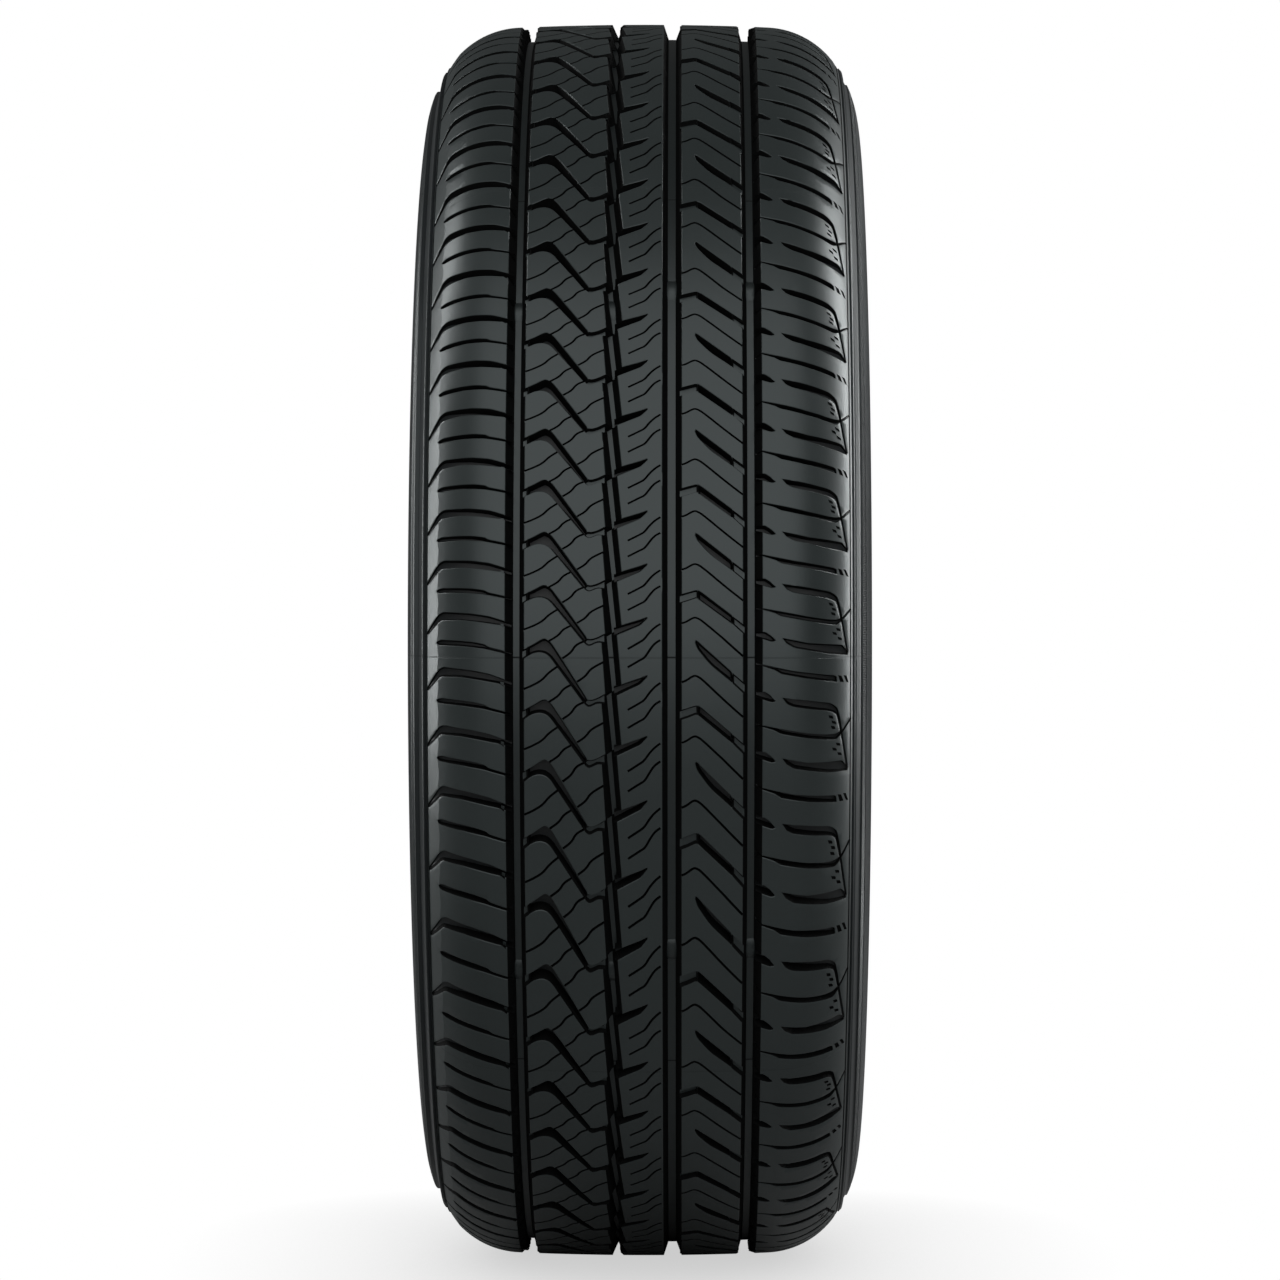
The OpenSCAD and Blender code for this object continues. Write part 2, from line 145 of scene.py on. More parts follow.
# name, which pitches, kind of floor, rounding of the corners in mm, outline
SLOTS = [
    ("long slot", "all", "shoulder", 1.2, [
        (left_1, -0.285), (-71.7, -0.418), (-80.6, -0.474), (-94.0, -0.518), (-96.6, -0.457),
        (-102.3, -0.12), (-101.9, -0.065), (-96.4, -0.301), (-95.0, -0.352), (-85.3, -0.355),
        (-76.4, -0.315), (-67.0, -0.26), (left_1, -0.2)]),
    ("long slot tie", "all", "step", 0.2, [
        (-64.6, -0.276), (-66.2, -0.288), (-66.2, -0.248), (-64.6, -0.21)]),
    ("short slot", "all", "shoulder", 1.0, [
        (left_1, 0.235), (-72.1, 0.138), (-73.7, 0.097), (-79.2, 0.058), (-86.0, 0.036), (-95.0, 0.019),
        (-97.6, 0.058), (-96.4, 0.11), (-84.6, 0.125), (-74.5, 0.163), (-71.7, 0.185), (left_1, 0.27)]),
    ("vee", "all", "slot", 1.5, [
        (-53.2, 0.145), (-50.9, 0.106), (-46.9, 0.022), (-45.2, -0.004), (-43.2, 0.028), (-41.5, 0.089),
        (-24.3, 1.02), (-25.9, 1.085), (-42.5, 0.298), (-44.9, 0.238), (-47.6, 0.219), (-50.6, 0.239),
        (-53.2, 0.29)]),
    ("vee mouth", "all", "tie", 0.0, [(right_1, 0.187), (-53.2, 0.145), (-53.2, 0.29), (right_1, 0.35)]),
    ("vee end", "all", "tie", 1.0, [
        (-16.6, 1.075), (-19.8, 1.064), (-23.1, 1.118), (-24.5, 1.122), (-26.6, 1.06), (-24.8, 0.992),
        (-23.1, 1.011), (-20.1, 0.979), (-16.6, 0.91)]),
    ("notch", "all", "slot", 0.8, [
        (-12.0, -0.2), (-8.4, -0.246), (0.4, -0.349), (3.9, -0.4), (3.9, -0.374), (0.5, -0.248),
        (-9.1, -0.091), (-12.0, -0.04)]),
    ("slant", "even", "slot", 0.6, [
        (28.2, 0.103), (29.9, 0.142), (44.8, 0.585), (44.8, 0.735), (29.2, 0.286), (28.2, 0.262)]),
    ("slant mouth", "even", "tie", 0.8, [
        (right_3, 0.18), (23.5, 0.135), (26.9, 0.097), (28.2, 0.103), (28.2, 0.262), (27.2, 0.247),
        (23.5, 0.299), (right_3, 0.345)]),
    ("slant end", "even", "tie", 0.0, [(left_4, 0.93), (44.8, 0.735), (44.8, 0.585), (left_4, 0.75)]),
    ("lens", "odd", "slot", 1.2, [
        (27.1, 0.03), (27.9, 0.044), (29.9, 0.108), (44.6, 0.562), (44.6, 0.735), (43.3, 0.689),
        (35.3, 0.464), (32.5, 0.364), (27.9, 0.166), (26.8, 0.062)]),
    ("lens end", "odd", "tie", 0.0, [(left_4, 0.92), (44.6, 0.735), (44.6, 0.562), (left_4, 0.73)]),
    ("shoulder notch", "all", "shoulder", 0.8, [
        (right_4, -0.123), (60.0, -0.124), (62.7, -0.058), (65.4, 0.036), (63.4, 0.052), (60.0, 0.015),
        (right_4, -0.031)]),
    ("bar", "odd", "shoulder", 0.5, [
        (right_4, 0.41), (58.9, 0.428), (64.7, 0.474), (74.1, 0.541), (93.4, 0.628), (94.5, 0.651),
        (94.8, 0.745), (93.1, 0.732), (80.9, 0.668), (68.1, 0.585), (65.0, 0.521), (58.9, 0.452),
        (right_4, 0.434)]),
    ("bar tick", "odd", "shallow", 0.2, [(95.3, 0.628), (97.0, 0.641), (98.2, 0.752), (96.3, 0.746)]),
    ("bar tick", "odd", "shallow", 0.2, [(97.9, 0.628), (99.4, 0.643), (100.6, 0.769), (99.4, 0.756)]),
    ("hook", "even", "shoulder", 1.6, [
        (68.5, -0.02), (80.8, 0.035), (91.6, 0.095), (95.0, 0.183), (96.4, 0.389), (97.6, 0.658),
        (100.5, 1.27), (99.3, 1.235), (96.6, 0.66), (95.2, 0.426), (94.2, 0.283), (91.3, 0.231),
        (80.6, 0.172), (73.5, 0.13), (70.6, 0.075)]),
    ("curl", "even", "shoulder", 1.2, [
        (right_4, 0.42), (59.2, 0.437), (65.4, 0.481), (80.8, 0.586), (90.3, 0.632), (94.2, 0.633),
        (97.0, 0.59), (101.4, 0.385), (101.9, 0.41), (97.3, 0.64), (94.4, 0.736), (90.5, 0.72),
        (80.6, 0.666), (67.6, 0.576), (65.0, 0.521), (59.2, 0.46), (right_4, 0.445)]),
    ("blade", "even", "shoulder", 0.8, [
        (68.5, 0.992), (80.8, 1.075), (97.2, 1.105), (99.8, 1.2), (100.3, 1.284), (90.5, 1.255),
        (74.2, 1.151), (70.5, 1.078)]),
]
# middles of the dots on the right shoulder, and a dot's corners around its middle
DOTS = [(91.8, 0.34), (93.2, 0.436), (92.9, 0.524), (95.4, 0.827), (93.6, 0.904), (96.1, 0.998)]
DOT = [(-1.2, -0.04), (0.8, -0.022), (1.3, 0.032), (-0.7, 0.014)]
SLOTS += [("dot", "even", "shallow", 0.5, [(w + dw, s + ds) for dw, ds in DOT]) for w, s in DOTS]
# centre lines of the thin cuts, which are in every pitch
SIPES = [
    [(-55.0, -0.17), (-51.0, -0.227), (-46.2, -0.319), (-43.2, -0.439), (-39.0, -0.54)],
    [(-43.0, 0.04), (-38.5, -0.055), (-36.2, -0.173), (-32.0, -0.25)],
    [(-36.6, 0.325), (-32.5, 0.233), (-30.2, 0.103), (-26.0, 0.04)],
    [(-29.6, -0.29), (-25.5, -0.382), (-23.2, -0.502), (-17.0, -0.615)],
    [(-5.4, 0.171), (0.5, 0.055), (2.6, 0.008), (4.8, -0.106), (7.4, -0.205), (10.2, -0.275)],
    [(-5.4, 0.471), (0.5, 0.352), (2.7, 0.314), (5.2, 0.18), (7.4, 0.081), (10.2, 0.023)],
    [(20.3, -0.285), (22.3, -0.307), (26.0, -0.394), (27.8, -0.384), (30.4, -0.323),
     (41.3, 0.036), (49.7, 0.292)],
]
SIPE_W = 1.1
# these begin and end in a main groove's wall, and are open there
OPEN_SLOTS = ("long slot", "short slot", "notch", "shoulder notch", "bar", "curl",
              "vee mouth", "vee end", "slant mouth", "slant end", "lens end")
print(len(SLOTS), "slot outlines and", len(SIPES), "sipes in a pair of pitches")

# %% [markdown]
# ## One pair of pitches, laid flat
# A constrained Delaunay triangulation cuts the flat pair along every outline. The same
# outlines a third of a millimetre wider give the narrow bevel that a mould leaves on an edge.

# %% Change an outline
# a rounded corner takes at most this share of a side
ROUND_SHARE = 0.42
# sides that turn by less than this sine are straight on, and a corner moves in by this many distances at most
NEARLY_STRAIGHT, FARTHEST = 0.15, 2.2


def rounded(points, cut):
    """Each corner b between a and c becomes the curve (1-t)^2 p + 2t(1-t) b + t^2 q, t = 0, 1/2, 1, where
    p and q are cut mm from b. The first and the last corner lie in a groove's mouth and stay sharp."""
    if cut <= 0:
        return points
    a, c = np.roll(points, 1, 0), np.roll(points, -1, 0)
    la = np.linalg.norm(a - points, axis=1)[:, None]
    lc = np.linalg.norm(c - points, axis=1)[:, None]
    p = points + (a - points) * np.minimum(cut / la, ROUND_SHARE)
    q = points + (c - points) * np.minimum(cut / lc, ROUND_SHARE)
    soft = np.stack([p, 0.25 * p + 0.5 * points + 0.25 * q, q], 1)[1:-1].reshape(-1, 2)
    return np.vstack([points[:1], soft, points[-1:]])


def left_normal(d):
    """Unit vectors to the left of the vectors d: (-d_y, d_x) / |d|."""
    return np.stack([-d[:, 1], d[:, 0]], 1) / np.linalg.norm(d, axis=1)[:, None]


def sides_of(points):
    """The sides before and after each corner, and the sign of sum(x_i y_i+1 - x_i+1 y_i): 1 anticlockwise."""
    before, after = points - np.roll(points, 1, 0), np.roll(points, -1, 0) - points
    area = np.sum(points[:, 0] * np.roll(points[:, 1], -1) - np.roll(points[:, 0], -1) * points[:, 1])
    return before, after, np.sign(area)


def widened(points, by):
    """The closed outline moved out: each corner moves 2 n / |n|^2 times by, where n is the sum of its two
    sides' outward normals. |n| counts as 0.9 at least, so that a sharp corner doesn't run away."""
    before, after, sense = sides_of(points)
    n = -(left_normal(before) + left_normal(after))
    length = np.maximum(np.linalg.norm(n, axis=1), 0.9)[:, None]
    return points + sense * by * (n / length) * (2 / length)


def inset(points, by, is_open):
    """The closed outline moved in: each corner p becomes p + x, where x . n1 = d1 and x . n2 = d2 for the
    inward normals and distances of its two sides. The side from the last corner to the first may stay."""
    before, after, sense = sides_of(points)
    n1, n2 = left_normal(before) * sense, left_normal(after) * sense
    d1 = np.full(len(points), by)
    d2 = d1.copy()
    if is_open:
        d1[0] = d2[-1] = 0
    cross = n1[:, 0] * n2[:, 1] - n1[:, 1] * n2[:, 0]
    straight_on = np.abs(cross) < NEARLY_STRAIGHT
    safe = np.where(straight_on, 1, cross)
    x = np.stack([d1 * n2[:, 1] - d2 * n1[:, 1], d2 * n1[:, 0] - d1 * n2[:, 0]], 1) / safe[:, None]
    x = np.where(straight_on[:, None], 0.5 * (d1[:, None] * n1 + d2[:, None] * n2), x)
    length = np.linalg.norm(x, axis=1)[:, None]
    return points + x * np.minimum(1, FARTHEST * by / np.maximum(length, 1e-9))


def strip(line, width):
    """Closed outline of a cut along a centre line, whose corners are cut off twice at the quarters of its
    sides: q = 3/4 a + 1/4 b, r = 1/4 a + 3/4 b."""
    line = np.array(line)
    for _ in range(2):
        q, r = 0.75 * line[:-1] + 0.25 * line[1:], 0.25 * line[:-1] + 0.75 * line[1:]
        line = np.vstack([line[:1], np.stack([q, r], 1).reshape(-1, 2)[1:-1], line[-1:]])
    n = left_normal(np.gradient(line, axis=0)) * width / 2
    return np.vstack([line + n, (line - n)[::-1]])


# %% [markdown]
# ## Places in a pair
# Straight lines run down the flat pair, the zigzag steps once in each pitch, and the left
# shoulder's crease is a wave. One formula for each keeps triangles, depths and wear bars in step.

# %% Places in a pair
STEPS = 16
LONG = 2 * MEAN
RUN = np.arange(-1, STEPS + 2) * LONG / STEPS
CREASE_RUN = np.linspace(-MEAN / 4, 9 * MEAN / 4, 41)
# the shoulders are curved from this place on, and a side that runs across them is cut up this finely
CURVED_FROM, CURVED_STEP = 62, 2.5


def flat(points):
    """(mm, share of a pitch) as mm both ways."""
    return np.array(points, float) * (1, MEAN)


def pitches_for(which):
    """Where an outline repeats so that it covers the pair from 0 to 2."""
    return {"all": (-2, -1, 0, 1, 2), "even": (-2, 0, 2), "odd": (-1, 1, 3)}[which]


def inside(points, outline):
    """Even-odd test: a point is inside when a ray to the right crosses the outline an odd number of times."""
    x, y = points[:, 0][:, None], points[:, 1][:, None]
    ax, ay = outline[:, 0], outline[:, 1]
    bx, by = np.roll(ax, -1), np.roll(ay, -1)
    crosses = (ay > y) != (by > y)
    at = ax + (y - ay) / np.where(by == ay, 1, by - ay) * (bx - ax)
    return (np.sum(crosses & (x < at), axis=1) % 2) == 1


def zig(line, y):
    """Place across of one line of the zigzag groove, at places y mm along the tread."""
    s = np.array([p[1] for p in line])
    w = np.array([p[0] for p in line])
    k = np.arange(-2, 4)[:, None]
    return np.interp(y / MEAN, (s[None] + k).ravel(), np.tile(w, len(k)))


def crease(v):
    """Place across of the scalloped crease: -97 + 0.6 sin^2(2 pi (s - 0.06)), straight between its points."""
    return np.interp(v, CREASE_RUN, -97.0 + 0.6 * np.sin(2 * np.pi * (CREASE_RUN / MEAN - 0.06)) ** 2)


def down(w):
    """A straight line along the whole pair at a place across."""
    return np.stack([np.full(len(RUN), w), RUN], 1)


def finer(path):
    """Sides that run across a curved shoulder in n short steps: a + (b - a) k / n, k = 0..n-1."""
    after = np.roll(path, -1, 0)
    curved = np.maximum(np.abs(path[:, 0]), np.abs(after[:, 0])) > CURVED_FROM
    steps = np.ceil(np.abs(after[:, 0] - path[:, 0]) / CURVED_STEP)
    n = np.where(curved, np.maximum(steps, 1), 1).astype(int)
    side = np.repeat(np.arange(len(path)), n)
    k = np.arange(len(side)) - np.repeat(np.cumsum(n) - n, n)
    return path[side] + (after[side] - path[side]) * (k / n[side])[:, None]


# %% [markdown]
# ## Lay out every outline
# Each outline is repeated for the pitches that reach into the pair. A later outline wins where
# two lie over each other, so the thin cuts come first, then the grooves, then the slots.

# %% Lay out every outline
# loose points this far from the long slots keep their bevels' soft shading off the wide faces
GUARD = 1.0
# number of the zigzag groove, after the three straight ones
ZIGZAG = 3
outlines, edge_lines, feet, guards = [], [], [], []
for line in SIPES:
    for k in pitches_for("all"):
        outlines.append(("sipe", strip(flat(line) + (0, k * MEAN), SIPE_W)))
zig_lines = [ZIG_LEFT, ZIG_FLOOR_LEFT, ZIG_FLOOR_RIGHT, ZIG_RIGHT]
turns = np.array([s + k for k in range(-1, 3) for line in zig_lines for _, s in line]) * MEAN
zig_y = np.unique(np.round(np.concatenate([RUN, turns]), 6))
zig_y = zig_y[(zig_y >= RUN[0]) & (zig_y <= RUN[-1])]
zig_paths = [np.stack([zig(line, zig_y), zig_y], 1) for line in zig_lines]
for number, paths in enumerate([[down(w) for w in groove] for groove in GROOVES] + [zig_paths]):
    for part, path, beside in zip(("left wall", "floor", "right wall"), paths[:-1], paths[1:]):
        outlines.append((f"{part} {number}", np.vstack([path, beside[::-1]])))
outlines.append(("line", np.vstack([down(LINE_AT[0]), down(LINE_AT[1])[::-1]])))
for name, which, kind, cut, points in SLOTS:
    for k in pitches_for(which):
        shape = rounded(flat(points) + (0, k * MEAN), cut)
        if shape[:, 1].max() < 0 or shape[:, 1].min() > LONG:
            continue
        if kind in FEET:
            outlines.append(("foot " + kind, shape))
            outlines.append((kind, inset(shape, FEET[kind], name in OPEN_SLOTS)))
            feet.append(outlines[-1][1])
        else:
            outlines.append((kind, shape))
        if kind not in ("tie", "step", "shallow"):
            edge_lines.append(widened(shape, EDGE))
        if name == "long slot":
            guards.append(finer(widened(shape, GUARD)))
groove_bevels = [down(g[0] - EDGE) for g in GROOVES] + [down(g[3] + EDGE) for g in GROOVES]
groove_bevels += [zig_paths[0] - (EDGE, 0), zig_paths[3] + (EDGE, 0)]
straight = groove_bevels + [down(w) for w in SPLITS] + [np.stack([crease(CREASE_RUN), CREASE_RUN], 1)]
print(len(outlines), "outlines,", len(edge_lines) + len(groove_bevels), "bevel lines")

# %% [markdown]
# ## Cut the flat pair into triangles
# The outlines' sides and the pair's own border are the lines that no triangle may cross. A
# loose grid of points between them keeps the triangles even, so the curved tread is smooth.

# %% Triangulate
# loose points keep this far from every line, and the guard points are only on the left shoulder's edge
GRID_GAP, GUARD_GAP, GUARD_FROM = 0.8, 0.3, -90


def as_edges(paths):
    """All points of the (path, closed) pairs in one array, and the pairs of point numbers that join them."""
    points, edges, base = [], [], 0
    for path, closed in paths:
        path = finer(path) if closed else path
        n = len(path)
        points.append(path)
        i = np.arange(n if closed else n - 1)
        edges.append(np.stack([base + i, base + (i + 1) % n], 1))
        base += n
    return np.vstack(points), np.vstack(edges)


def near_a_side(points, sides, gap):
    """True where a point is nearer than gap to any side a, b: |p - (a + t(b - a))| with t held in 0..1."""
    a, d = sides[:, 0], sides[:, 1] - sides[:, 0]
    t = ((points[:, None] - a) * d).sum(2) / np.maximum((d * d).sum(1), 1e-9)
    q = a + np.clip(t, 0, 1)[..., None] * d
    return (np.linalg.norm(points[:, None] - q, axis=2) < gap).any(1)


# the loose grid is closer on the curved shoulders
across = np.concatenate([np.arange(-101.5, -66, 2.6), np.arange(-64.0, 64, 5.0), np.arange(66.5, 102, 2.6)])
along = np.linspace(0, LONG, STEPS + 1)
border = np.vstack([
    np.stack([np.full(STEPS + 1, -PATCH), along], 1),
    np.stack([across, np.full(len(across), LONG)], 1),
    np.stack([np.full(STEPS + 1, PATCH), along[::-1]], 1),
    np.stack([across[::-1], np.zeros(len(across))], 1)])
closed_lines = [outline for _, outline in outlines] + edge_lines
fixed, fixed_edges = as_edges(
    [(line, True) for line in closed_lines] + [(line, False) for line in straight] + [(border, True)])
grid = np.stack(np.meshgrid(across, along[1:-1]), 2).reshape(-1, 2)
grid = grid[~near_a_side(grid, fixed[fixed_edges], GRID_GAP)]
guard = np.vstack(guards)
guard = guard[guard[:, 0] < GUARD_FROM]
guard = guard[~near_a_side(guard, fixed[fixed_edges], GUARD_GAP)]
points = np.vstack([fixed, grid, guard])
verts, _, faces, _, _, _ = delaunay_2d_cdt(
    [Vector(p) for p in points.tolist()], fixed_edges.tolist(), [], 0, 1e-4)
verts = np.array([tuple(v) for v in verts])
tris = np.array(faces)
centre = verts[tris].mean(1)
keep = (np.abs(centre[:, 0]) < PATCH) & (centre[:, 1] > 0) & (centre[:, 1] < LONG)
tris, centre = tris[keep], centre[keep]
kind = np.zeros(len(tris), int)
for number, (name, shape) in enumerate(outlines, 1):
    near = (centre >= shape.min(0)).all(1) & (centre <= shape.max(0)).all(1)
    hit = np.flatnonzero(near)
    kind[hit[inside(centre[hit], shape)]] = number
names = np.array(["top"] + [name for name, _ in outlines])
kinds = names[kind]
print(len(verts), "points and", len(tris), "triangles in one flat pair")

# %% [markdown]
# ## Give the flat pair its depth
# Each kind of floor has a depth of its own. Where two triangles that share a side lie at
# different depths, a wall is put in between them. The tread's own edge is let down a little
# beside a slot, which together with the wider outline makes the bevel.

# %% Depths and walls
# depth of each plain kind of floor, by the last word of its name
FLOORS = {"sipe": SIPE, "slot": SLOT, "tie": TIE, "step": TIE, "shallow": SHALLOW, "line": LINE_DEEP}
# a point this near to a line lies on it, and a point's number times this leaves room for its depth in um
ON_LINE, LEVEL_LIMIT = 0.01, 100000


def depth_of(name, w, v):
    """Depth in mm of a kind of surface at places w across and v along, as whole arrays."""
    if name == "top":
        return np.zeros(len(w))
    if name[-1].isdigit():
        part, number = name[:-2], int(name[-1])
        lines = [zig(line, v) for line in zig_lines] if number == ZIGZAG else GROOVES[number]
        low = ZIG_DEEP if number == ZIGZAG else DEEP
        if part == "floor":
            return np.full(len(w), low)
        edge, floor = (lines[0], lines[1]) if part == "left wall" else (lines[3], lines[2])
        return SOFT + (low - SOFT) * np.clip((w - edge) / (floor - edge), 0, 1)
    if name.endswith("shoulder"):
        share = np.clip((np.abs(w) - CROWN_HALF) / (EDGE_Y - CROWN_HALF), 0, 1)
        return SHOULDER_SLOT + (SLOT_END - SHOULDER_SLOT) * share ** 2
    return np.full(len(w), FLOORS[name.split()[-1]])


heights = np.zeros((len(tris), 3))
for name in np.unique(kinds):
    rows = kinds == name
    flat_verts = verts[tris[rows]].reshape(-1, 2)
    heights[rows] = depth_of(name, flat_verts[:, 0], flat_verts[:, 1]).reshape(-1, 3)
# the foot of a slot's wall slopes: it is up on the slot's outline and down on the floor's own outline
foot_points, foot_sides = as_edges([(line, True) for line in feet])
on_floor = near_a_side(verts, foot_points[foot_sides], ON_LINE)
is_foot = np.char.startswith(kinds, "foot")
heights[is_foot] *= np.where(on_floor[tris[is_foot]], 1, 1 - FOOT_SHARE)
# the deepest surface that meets each point tells which points lie on an edge with a bevel
deepest = np.zeros(len(verts))
deep_rows = ~np.isin(kinds, ("sipe", "tie", "foot tie", "step", "shallow", "line"))
np.maximum.at(deepest, tris[deep_rows].ravel(), heights[deep_rows].ravel())
# only the strip between an outline and its bevel line is let down, so that no wider triangle tilts
in_bevel = deepest > SOFT / 2
for path, closed in [(line, True) for line in edge_lines] + [(line, False) for line in groove_bevels]:
    near = np.flatnonzero(((verts > path.min(0) - ON_LINE) & (verts < path.max(0) + ON_LINE)).all(1))
    sides = np.stack([path, np.roll(path, -1, 0)], 1)[:len(path) - (not closed)]
    in_bevel[near[near_a_side(verts[near], sides, ON_LINE)]] = True
strip_rows = in_bevel[tris].all(1) & (kinds == "top")
at_edge = (deepest[tris] > heights + SOFT / 2) & strip_rows[:, None]
heights = np.where(at_edge, heights + SOFT, heights)
levels = np.round(heights * 1000).astype(np.int64)
keys, instance = np.unique(tris.ravel() * LEVEL_LIMIT + levels.ravel(), return_inverse=True)
flat_point, level = keys // LEVEL_LIMIT, (keys % LEVEL_LIMIT) / 1000
top_tris = instance.reshape(-1, 3)

# where a side's two triangles lie on other levels, a wall joins them
side = np.concatenate([top_tris[:, [0, 1]], top_tris[:, [1, 2]], top_tris[:, [2, 0]]])
ends = flat_point[side]
order = np.lexsort((ends.max(1), ends.min(1)))
same = (np.sort(ends[order], 1)[:-1] == np.sort(ends[order], 1)[1:]).all(1)
one, two = side[order[:-1][same]], side[order[1:][same]][:, ::-1]
gap = (one != two).any(1)
one, two = one[gap], two[gap]
# the wall of the side a-b runs b, a on one level and a, b on the other
wall_tris = np.concatenate([
    np.stack([one[:, 1], one[:, 0], two[:, 0]], 1)[one[:, 0] != two[:, 0]],
    np.stack([one[:, 1], two[:, 0], two[:, 1]], 1)[one[:, 1] != two[:, 1]]])
wall_w = verts[flat_point[wall_tris]].mean(1)[:, 0]
print(len(top_tris), "level triangles and", len(wall_tris), "wall triangles in a pair")

# %% [markdown]
# ## Wrap the pairs around the wheel
# Every pair is the same flat pattern, stretched to the length of its own two pitches and
# bent around the axle. All 33 copies are worked out at once as whole arrays.

# %% Wrap
CREASE_NEAR = 0.02


def at_angle(y, r, angle):
    """(r cos a, y, -r sin a) in metres: the angle runs downwards over the front of the tyre."""
    return np.stack([r * np.cos(angle), y + 0 * angle, -r * np.sin(angle)], -1) / 1000


def left_bevel(w, v):
    """How far the left shoulder is cut back beyond its crease: LEFT_CUT t + t (1 - t), t = 0..1."""
    line = crease(v)
    t = np.clip((line - w) / (line + PATCH), 0, 1)
    return LEFT_CUT * t + t * (1 - t)


def pitch_angle(share):
    """Angle at a share 0..2 of every pair, even between the three angles where its pitches start and end."""
    return np.where(share < 1, first + share * (second - first), second + (share - 1) * (last - second))


pair_w, pair_v = verts[flat_point, 0], verts[flat_point, 1]
pair_r = tread_r(pair_w) - level - left_bevel(pair_w, pair_v)
pair_number = np.arange(PITCHES // 2)[:, None]
first, second, last = (starts[2 * pair_number + i] for i in (0, 1, 2))
angles = pitch_angle(pair_v / MEAN)
wrapped = at_angle(pair_w, pair_r, angles)
# 1 on the crease, 2 where it meets an outline
crease_flag = (np.abs(pair_w - crease(pair_v)) < CREASE_NEAR) * (1 + in_bevel[flat_point])
# angles of the points on the tread's edge, for the rings beside it
RING = pitch_angle(along / MEAN)[:, :-1].ravel()
print(len(wrapped), "pairs of", wrapped.shape[1], "points")

# %% [markdown]
# ## From arrays to pieces
# Each band of tread becomes one mesh, filled from whole arrays, which is much faster than adding
# faces one at a time. Its UV is in mm, so that a material can draw mould seams at their real size.

# %% Build the tread
# the mould is made of nine segments, which leave a fine seam at each of these angles
SEAMS = np.radians([-42.7, 1.5, 40.2, 79.8, 119.4, 159.0, 198.6, 238.2, 277.8])
# a face's painted shade picks its material: skin, dark floor or nearly black wall
FINISH_AND_SHADE_STEPS = (0.4, 0.99)
# corners that agree to 0.1 micrometres are one vertex
WELD = 1e7
SHARP_ANGLE = np.radians(28)


def seam_distance(angle, face_angle):
    """Millimetres around the tyre to the mould seam that is nearest to the face."""
    off = (face_angle[..., None] - SEAMS + np.pi) % (2 * np.pi) - np.pi
    nearest = SEAMS[np.argmin(np.abs(off), -1)]
    return ((angle - nearest[..., None] + np.pi) % (2 * np.pi) - np.pi) * OUTER_R


def placed(name, data):
    """A new object with this data, in the scene."""
    new = bpy.data.objects.new(name, data)
    bpy.context.scene.collection.objects.link(new)
    return new


def build(name, corners, uv, shade, creases=None):
    """A mesh from every face's corner points, welded where corners meet, with its UV and face shade.
    Angles run downwards, which mirrors the flat pattern, so the corners are read backwards. Edges along the
    crease, and those at a point where it meets an outline, are sharp also where they bend little."""
    corners, uv = corners[:, ::-1], uv[:, ::-1]
    sides = corners.shape[1]
    flat_corners = np.round(corners.reshape(-1, 3) * WELD).astype(np.int64)
    unique, inverse = np.unique(flat_corners, axis=0, return_inverse=True)
    inverse = inverse.reshape(-1, sides)
    whole = np.ones(len(inverse), bool)
    for i in range(sides):
        whole &= inverse[:, i] != inverse[:, (i + 1) % sides]
    mesh = bpy.data.meshes.new(name)
    mesh.vertices.add(len(unique))
    mesh.vertices.foreach_set("co", (unique / WELD).astype(np.float32).ravel())
    faces_in = inverse[whole]
    mesh.loops.add(faces_in.size)
    mesh.loops.foreach_set("vertex_index", faces_in.ravel().astype(np.int32))
    mesh.polygons.add(len(faces_in))
    mesh.polygons.foreach_set("loop_start", np.arange(0, faces_in.size, sides, dtype=np.int32))
    mesh.update(calc_edges=True)
    layer = mesh.uv_layers.new(name="mm")
    layer.data.foreach_set("uv", uv[whole].astype(np.float32).ravel())
    mesh.attributes.new("shade", "FLOAT", "FACE").data.foreach_set("value", shade[whole].astype(np.float32))
    finish_and_shade = np.digitize(shade[whole], FINISH_AND_SHADE_STEPS)
    mesh.polygons.foreach_set("material_index", finish_and_shade.astype(np.int32))
    mesh.set_sharp_from_angle(angle=SHARP_ANGLE)
    if creases is not None:
        flags = np.zeros(len(unique), np.int64)
        flags[inverse.ravel()] = creases[:, ::-1].ravel()
        ends = np.zeros(len(mesh.edges) * 2, np.int32)
        mesh.edges.foreach_get("vertices", ends)
        sharp = np.zeros(len(mesh.edges), bool)
        mesh.attributes["sharp_edge"].data.foreach_get("value", sharp)
        ends = flags[ends.reshape(-1, 2)]
        sharp |= (ends > 0).all(1) | (ends > 1).any(1)
        mesh.attributes["sharp_edge"].data.foreach_set("value", sharp)
    print(f"{name}: {len(unique)} vertices, {len(faces_in) * (sides - 2)} triangles")
    return placed(name, mesh)
